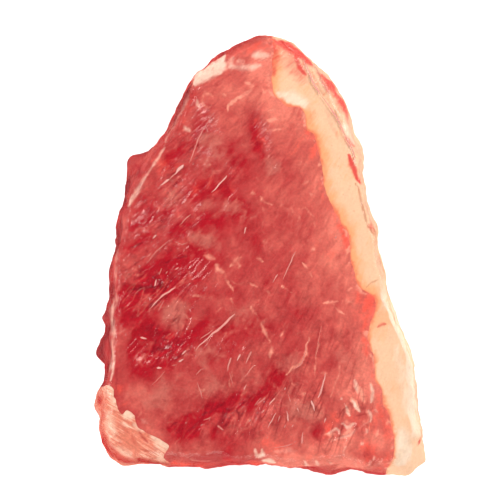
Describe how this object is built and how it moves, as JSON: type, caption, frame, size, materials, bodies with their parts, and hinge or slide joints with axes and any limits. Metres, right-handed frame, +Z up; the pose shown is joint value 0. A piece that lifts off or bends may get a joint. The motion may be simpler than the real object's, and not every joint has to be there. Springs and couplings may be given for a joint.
{
  "type": "raw beef silverside joint in clear skin-tight film",
  "caption": "Wedge-shaped slab of raw lean beef with a pale fat cap along one side and a lump of fat at one corner, sealed in tight clear film, lying flat with its marbled cut face up.",
  "frame": {"origin": "under the middle of the bounding box, on the surface that the joint rests on", "axes": "+X to the fat cap side, +Y to the narrow tip, +Z up from the surface through the cut face"},
  "size_m": [0.151, 0.2004, 0.0562],
  "materials": {
    "lean_meat": "wet red muscle with fine pale marbling under clear film",
    "white_fat": "smooth cream fat under clear film",
    "pink_fat": "pink streaky fat under clear film"
  },
  "bodies": {
    "root": {"lean_muscle": "lean_meat", "fat_cap": "white_fat", "corner_fat": "pink_fat"}
  },
  "joints": []
}
